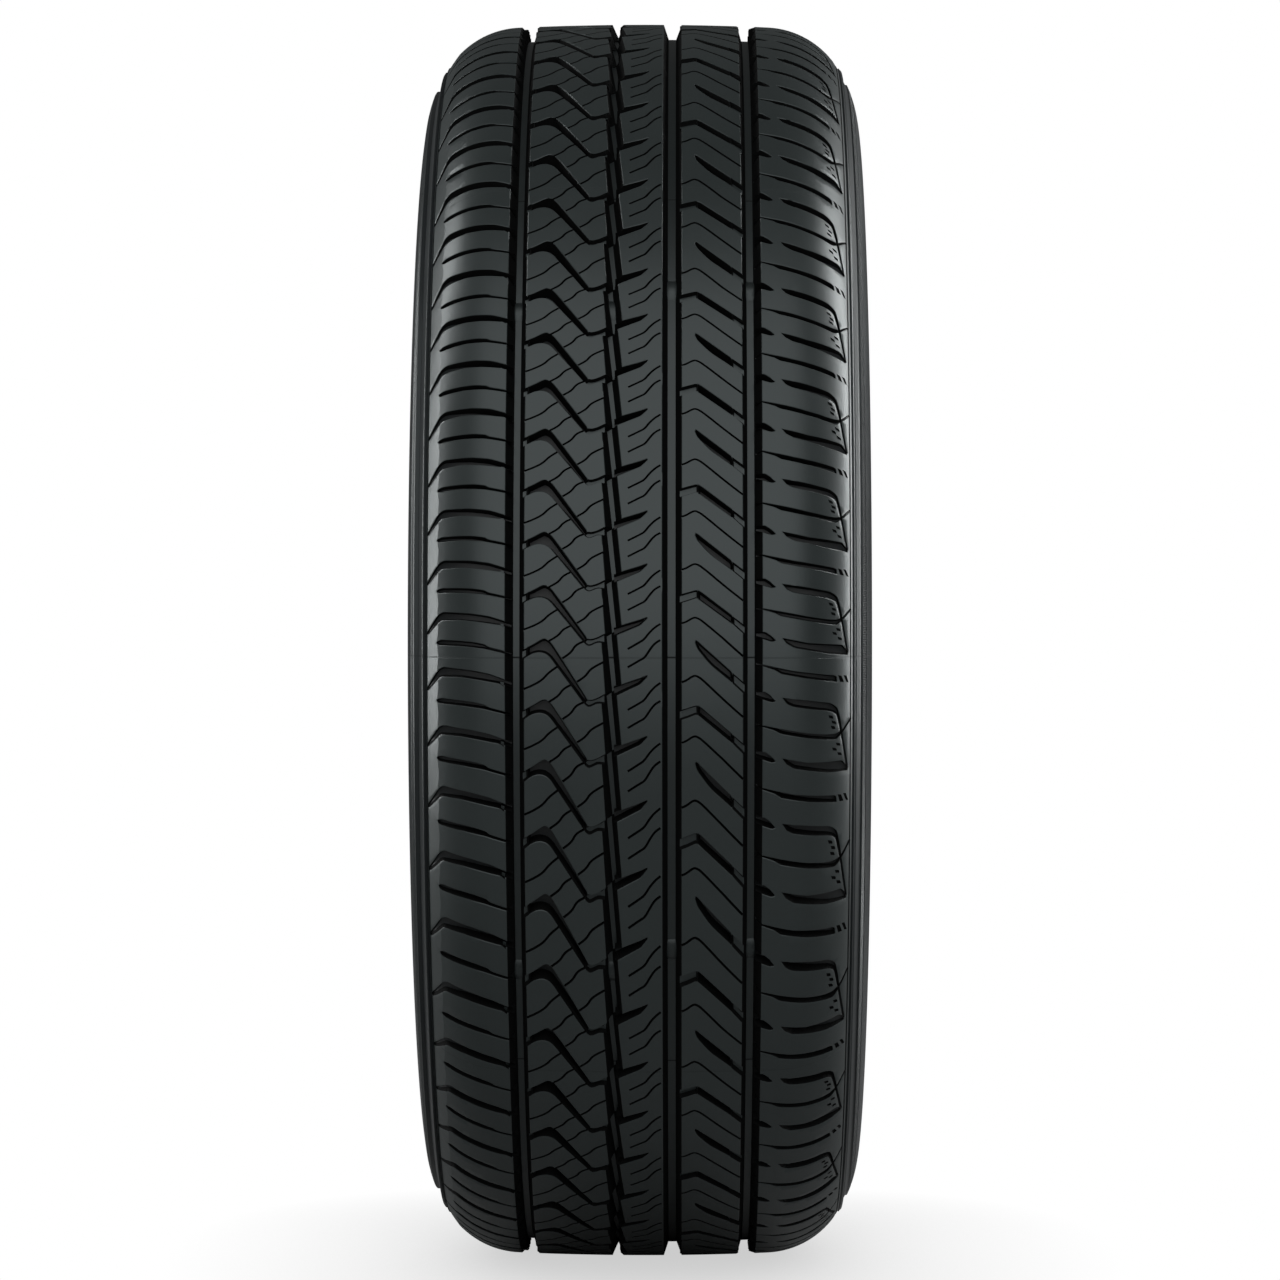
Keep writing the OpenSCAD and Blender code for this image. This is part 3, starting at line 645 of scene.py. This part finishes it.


# painted shade of each kind of face, which also picks its material: 0 keeps the tread's own rubber, the main
# grooves' floors and the tie bars are darkened a little, slot floors take the dark floor rubber, and 1 paints
# walls, sipes, feet, dots, ticks and the fine line nearly black
SHADES = {"top": 0.0, "tie": 0.1, "step": 0.1, "slot": 0.6, "shoulder": 0.5}
kind_shade = np.array([SHADES.get(name, 0.25 if name.startswith("floor") else 1.0) for name in names])
face_shade = kind_shade[kind]
all_tris = np.concatenate([top_tris, wall_tris])
all_shade = np.concatenate([face_shade, np.ones(len(wall_tris))])
all_centre = np.concatenate([centre[:, 0], wall_w])
band_ends = [-HALF_W, *SPLITS, HALF_W]
tread_names = ["tread_left_shoulder", "tread_second_rib", "tread_third_rib", "tread_fourth_rib",
               "tread_right_shoulder"]
pieces = []
for name, low, high in zip(tread_names, band_ends[:-1], band_ends[1:]):
    rows = (all_centre > low) & (all_centre <= high)
    faces_here = all_tris[rows]
    corners = wrapped[:, faces_here].reshape(-1, 3, 3)
    corner_angles = angles[:, faces_here].reshape(-1, 3)
    u = seam_distance(corner_angles, corner_angles.mean(1))
    v = np.tile(pair_w[faces_here], (len(wrapped), 1))
    flags = np.tile(crease_flag[faces_here], (len(wrapped), 1))
    pieces.append(build(name, corners, np.stack([u, v], -1), np.tile(all_shade[rows], len(wrapped)), flags))

# %% [markdown]
# ## Sidewalls, beads and liner
# These are rings. Each is a profile in (y, r), set out again and again at the same angles as
# the tread's edge, so that the seams close. Fine rings stand on the upper sidewall, a
# rim protector on the lower one, and the bead has a rounded heel and a tapered toe.

# %% Rings
# (place across, height over the upper sidewall) and, lower down, (share of the curve, height), in mm
LEFT_RELIEF = [
    (102.5, 0), (102.6, -0.6), (104.0, -1.1), (104.15, 0.3), (104.45, 0.35), (104.6, -0.6), (108.9, -2.0),
    (109.2, -0.15), (109.5, 0.05), (109.9, -0.25), (110.1, 0.05), (110.6, -0.25), (110.8, 0.05),
    (111.4, -0.2), (111.6, 0.05), (112.3, -0.1), (112.9, 0)]
RIGHT_RELIEF = [
    (102.5, 0), (102.6, -0.35), (102.95, -0.35), (103.05, 0.65), (103.4, 0.65), (103.8, 0.95), (104.0, -0.6),
    (107.0, -0.75), (107.6, -0.6), (107.75, 0.1), (109.2, 0.1), (109.3, -0.3), (109.6, -0.3), (109.75, 0),
    (112.9, 0)]
LOWER_RELIEF = [
    (0, 0), (0.3, 0), (0.31, -0.4), (0.33, -0.4), (0.34, 0), (0.42, 0), (0.5, 0.15), (0.56, 1.8), (0.62, 3.0),
    (0.7, 3.0), (0.76, 0.9), (0.84, 0), (0.9, 0), (0.905, 0.5), (0.925, 0.5), (0.93, 0), (1, 0)]
# radius of the bead's heel, width of its base, and how far in from its toe the liner starts
HEEL_R, BEAD_W, TOE_IN = 6.5, 19, 1


def relief(line, t, knots_t, knots_h):
    """The cubic's points at t, each moved out along the curve's normal by the height between the knots."""
    t = np.unique(np.round(np.concatenate([t, knots_t]), 5))
    p = bezier(*line, t)
    d = bezier(*line, t + 1e-4) - bezier(*line, t - 1e-4)
    return p + left_normal(d) * np.interp(t, knots_t, knots_h)[:, None]


def run_length(profile):
    """Length along a profile up to each of its points: the running sum of |p_i+1 - p_i|, from 0."""
    return np.concatenate([[0], np.cumsum(np.linalg.norm(np.diff(profile, axis=0), axis=1))])


def side_profile(knots):
    """Half profile from the tread's edge over the sidewall and the bead to the toe, as (y, r)."""
    y_knots, h_knots = np.array(knots).T
    t_knots = np.interp(y_knots, upper_line[:, 0], UPPER_T)
    upper = relief(UPPER, np.linspace(t_knots[0], 1, 34)[1:], t_knots, h_knots)
    lower_t, lower_h = np.array(LOWER_RELIEF).T
    lower = relief(LOWER, np.linspace(0, 1, 30), lower_t, lower_h)[1:]
    heel = np.radians(np.linspace(0, 90, 8))
    heel = np.stack([RIM_HALF - HEEL_R + HEEL_R * np.cos(heel), RIM_R + HEEL_R - HEEL_R * np.sin(heel)], 1)
    toe = RIM_HALF - BEAD_W
    base = np.array([
        (toe + 12, RIM_R - 0.35), (toe + 5, RIM_R - 0.9), (toe + 0.4, RIM_R - 0.9), (toe - 0.4, RIM_R - 0.3)])
    return np.vstack([upper, lower, heel, base])


def liner_profile():
    """Inner liner from the left toe over the crown to the right toe, as (y, r)."""
    toe = (RIM_HALF - BEAD_W - TOE_IN, RIM_R + 0.7)
    wide = (HALF_W - SIDEWALL_T, WIDEST_R + 4)
    top_y = CROWN_HALF + 6
    top = (top_y, float(tread_r(np.array(top_y))) - CROWN_T - 1.5)
    low = bezier(toe, (toe[0] + 5, toe[1] + 20), (wide[0], wide[1] - 22), wide, np.linspace(0, 1, 14))
    high = bezier(wide, (wide[0], wide[1] + 24), (top[0] + 20, top[1] - 2.4), top, np.linspace(0, 1, 14))[1:]
    y = np.linspace(top_y, 0, 8)[1:]
    crown = np.stack([y, tread_r(y) - CROWN_T - 1.5 * (y / top_y) ** 4], 1)
    half = np.vstack([low, high, crown])
    return np.vstack([half * (-1, 1), half[::-1][1:]])


def ring(name, profile, air_on_left):
    """Faces between neighbouring profile points and neighbouring angles, turned to face the air, which lies
    on the left or on the right of the profile's run in (y, r). The bead's base, which lies under the rim's
    radius, takes the matt wall rubber, whose nearly black colour is painted shade in the cuts."""
    a = np.append(RING, RING[0] + 2 * np.pi)
    grid = at_angle(profile[:, 0][:, None], profile[:, 1][:, None], a[None])
    length = run_length(profile)
    i, j = np.meshgrid(np.arange(len(profile) - 1), np.arange(len(a) - 1), indexing="ij")
    quads = [(i, j), (i + 1, j), (i + 1, j + 1), (i, j + 1)]
    quads = quads if air_on_left else quads[::-1]
    corners = np.stack([grid[q] for q in quads], -2).reshape(-1, 4, 3)
    angle = np.stack([a[q[1]] for q in quads], -1).reshape(-1, 4)
    v = np.stack([length[q[0]] for q in quads], -1).reshape(-1, 4)
    u = seam_distance(angle, angle.mean(1))
    base = (profile[:-1, 1] < RIM_R + 0.01) & (profile[1:, 1] < RIM_R + 0.01)
    return build(name, corners, np.stack([u, v], -1), np.repeat(base * 1.0, len(a) - 1))


patch_r = float(tread_r(np.array(PATCH)))
right_profile = np.vstack([(PATCH, patch_r), side_profile(RIGHT_RELIEF)])
left_profile = np.vstack([(-PATCH, patch_r - LEFT_CUT), side_profile(LEFT_RELIEF) * (-1, 1)])
liner_line = np.vstack([left_profile[-1], liner_profile(), right_profile[-1]])
pieces.append(ring("sidewall_left", left_profile, False))
pieces.append(ring("sidewall_right", right_profile, True))
pieces.append(ring("inner_liner", liner_line, False))

# %% [markdown]
# ## Wear bars
# Low bridges across the floors of the four main grooves show when the tread is worn down
# to 1.6 mm. They stand every 60 degrees round the tyre, and their ends run out to the floor.

# %% Wear bars
BAR_ROWS = 60.0 * np.arange(6)
BAR_LONG, BAR_HIGH, BAR_SUNK, BAR_SPREAD = 11.5, 1.6, 0.3, 0.62
# the groove that a row of bars crosses, and the angle of its first bar
BAR_PLACES = [(0, 30.1), (1, 27.9), (2, 27.9), (ZIGZAG, 30.1)]


def floor_edges(number, angle):
    """Places across of the two edges of a groove's floor at an angle. The zigzag's go with the pitch."""
    if number != ZIGZAG:
        return np.full(angle.shape, GROOVES[number][1]), np.full(angle.shape, GROOVES[number][2])
    turned = (angle - FIRST_PITCH) % (2 * np.pi) + FIRST_PITCH
    v = np.interp(turned, starts, np.arange(PITCHES + 1)) % 1 * MEAN
    return zig(ZIG_FLOOR_LEFT, v), zig(ZIG_FLOOR_RIGHT, v)


def wear_bars():
    """A low hill: its height is sin^0.6 along the bar, and it spreads up the groove's walls as it rises.
    The top is a grid of 9 by 4 points, and the foot is the same grid sunk into the floor."""
    corners = []
    t = np.linspace(0, 1, 9)
    hill = np.sin(np.pi * t) ** 0.6
    for number, first_angle in BAR_PLACES:
        middle = np.radians(first_angle + BAR_ROWS)[:, None]
        angle = middle + (t - 0.5)[None] * BAR_LONG / OUTER_R
        low, high = floor_edges(number, angle)
        low, high = low - BAR_SPREAD * hill, high + BAR_SPREAD * hill
        w = low[..., None] + (high - low)[..., None] * np.array([0.0, 0.12, 0.88, 1.0])
        deep = ZIG_DEEP if number == ZIGZAG else DEEP
        rise = BAR_HIGH * hill[None, :, None] * np.array([0.8, 1.0, 1.0, 0.8]) - 0.05
        top = at_angle(w, tread_r(w) - deep + rise, angle[..., None])
        foot = at_angle(w, tread_r(w) - deep - BAR_SUNK, angle[..., None])
        i, j = np.meshgrid(np.arange(8), np.arange(3), indexing="ij")
        loop = [(i, j), (i, j + 1), (i + 1, j + 1), (i + 1, j)]
        corners.append(np.stack([top[:, a, b] for a, b in loop], -2).reshape(-1, 4, 3))
        corners.append(np.stack([foot[:, a, b] for a, b in loop[::-1]], -2).reshape(-1, 4, 3))
        n, m = np.arange(8), np.arange(3)
        sides = [((n, 0), (n + 1, 0)), ((n + 1, 3), (n, 3)), ((0, m + 1), (0, m)), ((8, m), (8, m + 1))]
        for (a, b), (c, d) in sides:
            wall = [foot[:, a, b], top[:, a, b], top[:, c, d], foot[:, c, d]]
            corners.append(np.stack(wall, -2).reshape(-1, 4, 3))
    corners = np.vstack(corners)
    # a UV of 20 mm keeps the bars clear of every mould seam, which is drawn at 0
    uv = np.full((len(corners), 4, 2), 20.0)
    # painted shade: the bars sit in the groove floors, and their skin is darkened by a shade of 0.2
    return build("wear_bars", corners, uv, np.full(len(corners), 0.2))


pieces.append(wear_bars())

# %% [markdown]
# ## Rubber
# The whole tyre is one black compound, but the mould leaves several finishes on it. The tread
# is satin and the walls of its grooves are matt, and painted nearly black as painted shade. The right
# sidewall has fine ribs near its edge, and the liner shows the vent lines of the bladder that pressed the
# tyre into its mould.

# %% Helpers for materials


def linear(code):
    """sRGB hex to linear colour: c / 12.92 up to 0.04045, else ((c + 0.055) / 1.055)^2.4."""
    c = np.array([int(code[i:i + 2], 16) for i in (1, 3, 5)]) / 255
    return (*np.where(c <= 0.04045, c / 12.92, ((c + 0.055) / 1.055) ** 2.4).tolist(), 1.0)


def add(tree, kind, inputs=None, **settings):
    """Adds one node, sets its settings, and gives each named input a value or a link."""
    new = tree.nodes.new(kind)
    for key, value in settings.items():
        setattr(new, key, value)
    for key, value in (inputs or {}).items():
        if isinstance(value, bpy.types.NodeSocket):
            tree.links.new(value, new.inputs[key])
        else:
            new.inputs[key].default_value = value
    return new


def maths(tree, operation, *values):
    """A Math node's result."""
    return add(tree, "ShaderNodeMath", dict(enumerate(values)), operation=operation).outputs[0]


def mixed(tree, share, a, b):
    """Colour between a and b by share."""
    return add(tree, "ShaderNodeMix", {0: share, 6: a, 7: b}, data_type="RGBA").outputs[2]


def band(tree, value, low, high):
    """1 between low and high, else 0."""
    above = maths(tree, "GREATER_THAN", value, low)
    return maths(tree, "MULTIPLY", above, maths(tree, "LESS_THAN", value, high))


def new_tree(material):
    """The material's node tree, emptied."""
    material.use_nodes = True
    material.node_tree.nodes.clear()
    return material.node_tree


# %% [markdown]
# ## Rubber finishes
# One recipe makes all the skins and darkens their deeper faces as painted shade, and a simpler one makes
# the floors and walls, in dark colours that are painted shade. Clouds of another black and a fine grain
# keep rubber from looking like plastic. The fine relief is one bump, in mm.

# %% Rubber finishes
# the release agent of the mould leaves a very slightly cool shine on new rubber
SHEEN = (0.9, 0.99, 1.0, 1.0)
# noise scales per metre: clouds of about 45 mm, grains of 0.7 mm and specks of 3 mm
CLOUDS, GRAINS, SPECKS = 22.0, 1400.0, 300.0
# half width of a mould seam, height of the grain, depth of a seam and of a vent line, in mm
SEAM_HALF, GRAIN_HIGH, SEAM_DEEP, VENT_HIGH = 0.4, 0.03, 0.2, 0.35
SEAM_COLOUR, BUMP_UNIT = "#0c0d0d", 0.001


def rubber(name, colour, painted_shade_colour, rough, serrations=(), vents=0.0, specular=0.5):
    """Carbon black rubber: mottled colour, painted shade by the face's shade value, satin gloss, fine grain,
    mould seams and moulded serrations.
    """
    material = bpy.data.materials.new(name)
    tree = new_tree(material)
    place = add(tree, "ShaderNodeTexCoord").outputs["Object"]
    uv = add(tree, "ShaderNodeUVMap", uv_map="mm").outputs["UV"]
    split = add(tree, "ShaderNodeSeparateXYZ", {0: uv})
    u, v = split.outputs[0], split.outputs[1]
    cloud = add(tree, "ShaderNodeTexNoise", {"Vector": place, "Scale": CLOUDS, "Detail": 3.0}).outputs["Fac"]
    grain = add(tree, "ShaderNodeTexNoise", {"Vector": place, "Scale": GRAINS, "Detail": 2.0}).outputs["Fac"]
    shade = add(tree, "ShaderNodeAttribute", attribute_name="shade").outputs["Fac"]
    # the seam between two segments of the mould shows most on the floors
    seam = maths(tree, "LESS_THAN", maths(tree, "ABSOLUTE", u), SEAM_HALF)
    clear = maths(tree, "ADD", 0.2, maths(tree, "MULTIPLY", band(tree, shade, 0.2, 0.9), 0.75))
    seam = maths(tree, "MULTIPLY", seam, clear)
    tint = mixed(tree, cloud, linear(colour), (*[c * 1.25 for c in linear(colour)[:3]], 1.0))
    # painted shade: each face is mixed towards the dark colour by its shade, so groove floors, tie bars and
    # wear bars read darker
    tint = mixed(tree, shade, tint, linear(painted_shade_colour))
    tint = mixed(tree, seam, tint, linear(SEAM_COLOUR))
    height = maths(tree, "MULTIPLY", grain, GRAIN_HIGH)
    height = maths(tree, "SUBTRACT", height, maths(tree, "MULTIPLY", seam, SEAM_DEEP))
    for low, high, period, depth in serrations:
        wave = maths(tree, "SINE", maths(tree, "MULTIPLY", u, 2 * np.pi / period))
        wave = maths(tree, "MULTIPLY", wave, depth / 2)
        height = maths(tree, "ADD", height, maths(tree, "MULTIPLY", wave, band(tree, v, low, high)))
    if vents:
        slanted = maths(tree, "ADD", maths(tree, "MULTIPLY", u, 0.8), v)
        line = maths(tree, "LESS_THAN", maths(tree, "FRACT", maths(tree, "DIVIDE", slanted, vents)), 0.06)
        height = maths(tree, "ADD", height, maths(tree, "MULTIPLY", line, VENT_HIGH))
    bump = add(tree, "ShaderNodeBump", {"Height": height, "Distance": BUMP_UNIT, "Strength": 1.0}).outputs[0]
    roughness = maths(tree, "ADD", maths(tree, "MULTIPLY", cloud, 0.1), rough - 0.05)
    roughness = maths(tree, "ADD", roughness, maths(tree, "MULTIPLY", seam, 0.5))
    skin = add(tree, "ShaderNodeBsdfPrincipled", {
        "Base Color": tint, "Roughness": roughness, "Normal": bump, "IOR": 1.5, "Specular Tint": SHEEN,
        "Specular IOR Level": specular})
    add(tree, "ShaderNodeOutputMaterial", {"Surface": skin.outputs[0]})
    return material


def matt_rubber(name, colour, light, rough, specular):
    """Matt rubber with a fine mottle, for the floors of slots and for the walls of everything that is cut, in
    dark colours that are painted shade.
    """
    material = bpy.data.materials.new(name)
    tree = new_tree(material)
    place = add(tree, "ShaderNodeTexCoord").outputs["Object"]
    cloud = add(tree, "ShaderNodeTexNoise", {"Vector": place, "Scale": SPECKS, "Detail": 2.0}).outputs["Fac"]
    tint = mixed(tree, cloud, linear(colour), linear(light))
    skin = add(tree, "ShaderNodeBsdfPrincipled", {
        "Base Color": tint, "Roughness": rough, "IOR": 1.5, "Specular IOR Level": specular})
    add(tree, "ShaderNodeOutputMaterial", {"Surface": skin.outputs[0]})
    return material


# satin black with a broken grey shine on every edge
TREAD = rubber("tread rubber", "#282d2d", "#090a0a", 0.36)


def along_profile(profile, y):
    """Length along a sidewall's profile at which it reaches y, counted from the tread's edge."""
    upper = np.arange(len(profile)) <= np.argmax(np.abs(profile[:, 0]))
    return float(np.interp(abs(y), np.abs(profile[upper, 0]), run_length(profile)[upper]))


# fine radial ribs of the right sidewall, as the two places across, the period and the depth in mm
RIGHT_RIBS = [(107.8, 109.2, 0.93, 0.3), (109.6, 112.5, 0.93, 0.07)]
# the walls of the tyre are smoother and show one long soft streak
LEFT = rubber("left sidewall rubber", "#252829", "#060707", 0.34, specular=0.28)
RIB_RUNS = [
    (along_profile(right_profile, a), along_profile(right_profile, b), p, d) for a, b, p, d in RIGHT_RIBS]
RIGHT = rubber("right sidewall rubber", "#252829", "#060707", 0.34, RIB_RUNS, specular=0.28)
# the liner is a little duller, and its slanted lines catch the light in the bore
LINER = rubber("inner liner rubber", "#26282a", "#060707", 0.4, vents=24.0)
# slot floors are painted dark grey and upright walls nearly black, as painted shade in the cuts, so that
# every cut reads as a line; both are also matt
PAINTED_SHADE_FLOOR = matt_rubber("slot floor rubber with painted shade", "#1c1f20", "#252829", 0.45, 0.35)
PAINTED_SHADE_WALL = matt_rubber("groove wall rubber with painted shade", "#070808", "#0b0c0c", 0.85, 0.1)
FINISHES = {"inner_liner": LINER, "sidewall_left": LEFT, "sidewall_right": RIGHT}
for piece in pieces:
    for finish_and_shade in (FINISHES.get(piece.name, TREAD), PAINTED_SHADE_FLOOR, PAINTED_SHADE_WALL):
        piece.data.materials.append(finish_and_shade)
    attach(piece, "root")
    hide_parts("tyre")
print(len(pieces), "pieces with their rubber finishes")

# %% [markdown]
# ## Studio
# The tyre stands on a white floor. A large soft panel reaches from the camera to high above
# it, and a tall panel on each side draws the bright edges of the shoulders.

# %% Camera
EYE, TARGET = (2.906, 0.020, 0.0), (0.0, -0.002, 0.0)
LENS, SENSOR = 152.13, 36.0
camera_data = bpy.data.cameras.new("photo camera")
camera_data.lens, camera_data.sensor_width = LENS, SENSOR
camera = placed("photo camera", camera_data)
bpy.context.scene.camera = camera


def aim(thing, eye, target):
    """Puts a camera or a lamp at eye with its -Z axis towards target and +Y up."""
    thing.location = eye
    thing.rotation_euler = (Vector(target) - Vector(eye)).to_track_quat("-Z", "Y").to_euler()


aim(camera, EYE, TARGET)
print("camera", EYE[0], "m in front of the axle, lens", LENS, "mm")

# %% [markdown]
# ## Lamps
# Black rubber shows little but what it mirrors, so the lamps' shapes are the shapes of its shine.
# Area lamps give the long soft gloss of a soft box, where point lamps would give sparks.

# %% Lamps


def panel(name, eye, wide, high, brightness):
    """A soft panel that faces the tyre. Its watts are pi x area x brightness, where 1 looks white."""
    data = bpy.data.lights.new(name, "AREA")
    data.shape, data.size, data.size_y = "RECTANGLE", wide, high
    data.energy = np.pi * wide * high * brightness
    new = placed(name, data)
    aim(new, eye, (0, 0, 0))


panel("front panel", (2.1, 0.0, 1.0), 3.2, 3.9, 1.3)
panel("left panel", (-0.31, -1.71, 0.4), 0.3, 2.4, 13.5)
panel("right panel", (-0.5, 1.75, 0.65), 0.35, 1.9, 18.0)
panel("back panel", (-1.8, 2.0, 1.2), 1.2, 1.2, 0.9)

# %% [markdown]
# ## Floor and background
# The photograph is plain white but for a breath of shade under the tyre. So the world and the floor
# are white for the camera alone. A white room would make the black rubber look grey.

# %% Floor and background
FLOOR_Z, FLOOR_SIZE = -OUTER_R / 1000, 12.0
AMBIENT = 0.06
# what the floor throws back at the tyre, how near the tyre the floor's painted shadow reaches, and the glow
# left at its darkest
BOUNCE, NEAR_TYRE, DARKEST = (0.27, 0.27, 0.27, 1), 0.15, 0.6
world = bpy.data.worlds.new("studio")
tree = new_tree(world)
seen = add(tree, "ShaderNodeLightPath").outputs["Is Camera Ray"]
strength = maths(tree, "ADD", maths(tree, "MULTIPLY", seen, 1 - AMBIENT), AMBIENT)
back = add(tree, "ShaderNodeBackground", {"Color": (1, 1, 1, 1), "Strength": strength})
add(tree, "ShaderNodeOutputWorld", {"Surface": back.outputs[0]})
bpy.context.scene.world = world

floor_mesh = bpy.data.meshes.new("floor")
corners = [(x * FLOOR_SIZE, y * FLOOR_SIZE, FLOOR_Z) for x, y in ((-1, -1), (1, -1), (1, 1), (-1, 1))]
floor_mesh.from_pydata(corners, [], [(0, 1, 2, 3)])
floor = placed("floor", floor_mesh)
paper = bpy.data.materials.new("white floor with painted shadow")
tree = new_tree(paper)
seen = add(tree, "ShaderNodeLightPath").outputs["Is Camera Ray"]
# painted shadow: the floor glows white where nothing stands over it, and its glow is darkened by ambient
# occlusion close to the tyre
painted_shadow_ao = add(tree, "ShaderNodeAmbientOcclusion", {"Distance": NEAR_TYRE}, samples=8).outputs["AO"]
bright = maths(tree, "ADD", maths(tree, "MULTIPLY", painted_shadow_ao, 1 - DARKEST), DARKEST)
white = add(tree, "ShaderNodeEmission", {"Color": (1, 1, 1, 1), "Strength": bright})
dim = add(tree, "ShaderNodeBsdfDiffuse", {"Color": BOUNCE})
both = add(tree, "ShaderNodeMixShader", {0: seen, 1: dim.outputs[0], 2: white.outputs[0]})
add(tree, "ShaderNodeOutputMaterial", {"Surface": both.outputs[0]})
floor_mesh.materials.append(paper)
bpy.context.scene.view_settings.view_transform = "Standard"
print("floor", 2 * FLOOR_SIZE, "m wide at", FLOOR_Z, "m")
